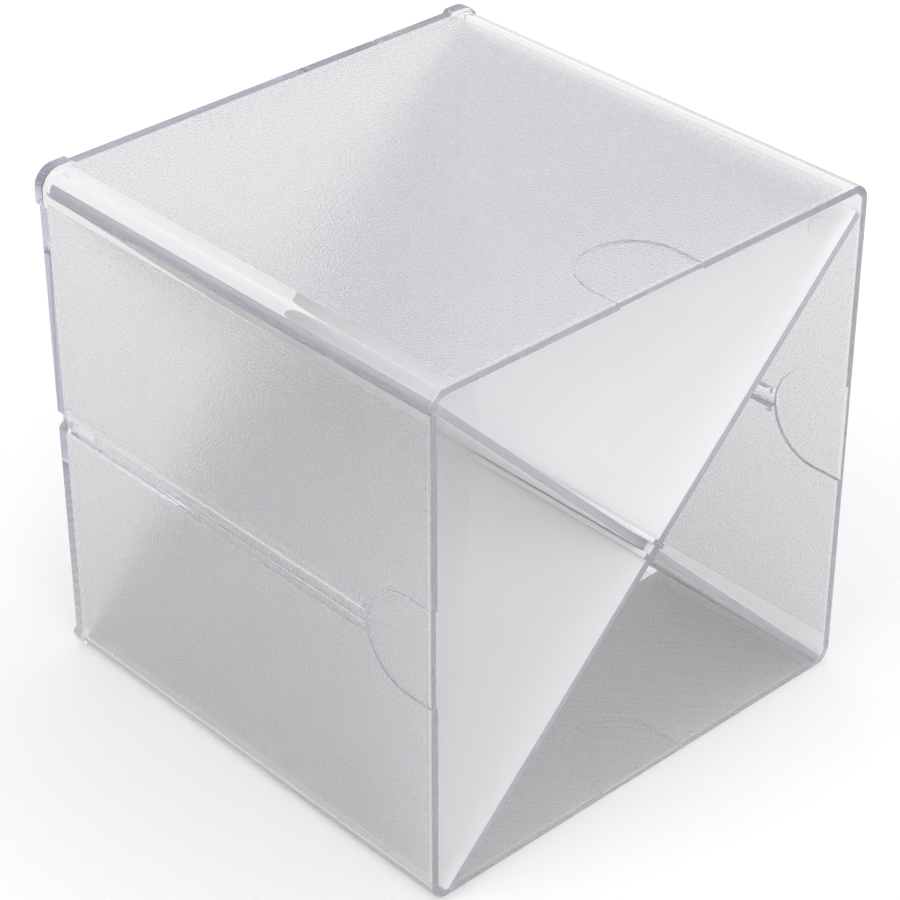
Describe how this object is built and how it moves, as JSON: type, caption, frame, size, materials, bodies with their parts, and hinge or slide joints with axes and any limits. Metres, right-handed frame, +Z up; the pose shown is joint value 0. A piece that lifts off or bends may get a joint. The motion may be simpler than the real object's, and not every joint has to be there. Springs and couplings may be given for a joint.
{
  "type": "stackable organiser cube",
  "caption": "Clear open-front storage cube with two slotted divider panels that cross in an X to make three-sided compartments.",
  "frame": {"origin": "centre of the whole object's footprint, on the surface it stands on", "axes": "+Z up, +Y to the closed back, so the open front faces -Y; +X to the right seen from the front"},
  "size_m": [0.1546, 0.153, 0.1535],
  "materials": {
    "clear_shell": "clear crystal polystyrene, fine moulded texture on the outer faces, polished edges",
    "frosted_divider": "clear polystyrene, both faces frosted, edges polished"
  },
  "bodies": {
    "shell": {"cube_shell": "clear_shell"},
    "seated_panel": {"seated_divider": "frosted_divider"},
    "crossing_panel": {"crossing_divider": "frosted_divider"}
  },
  "joints": [
    {"name": "seated_divider_slide", "type": "slide", "parent": "shell", "child": "seated_panel", "axis": [0, -1, 0], "range_m": [0, 0.15]},
    {"name": "crossing_divider_slide", "type": "slide", "parent": "seated_panel", "child": "crossing_panel", "axis": [0, -1, 0], "range_m": [0, 0.15]}
  ]
}
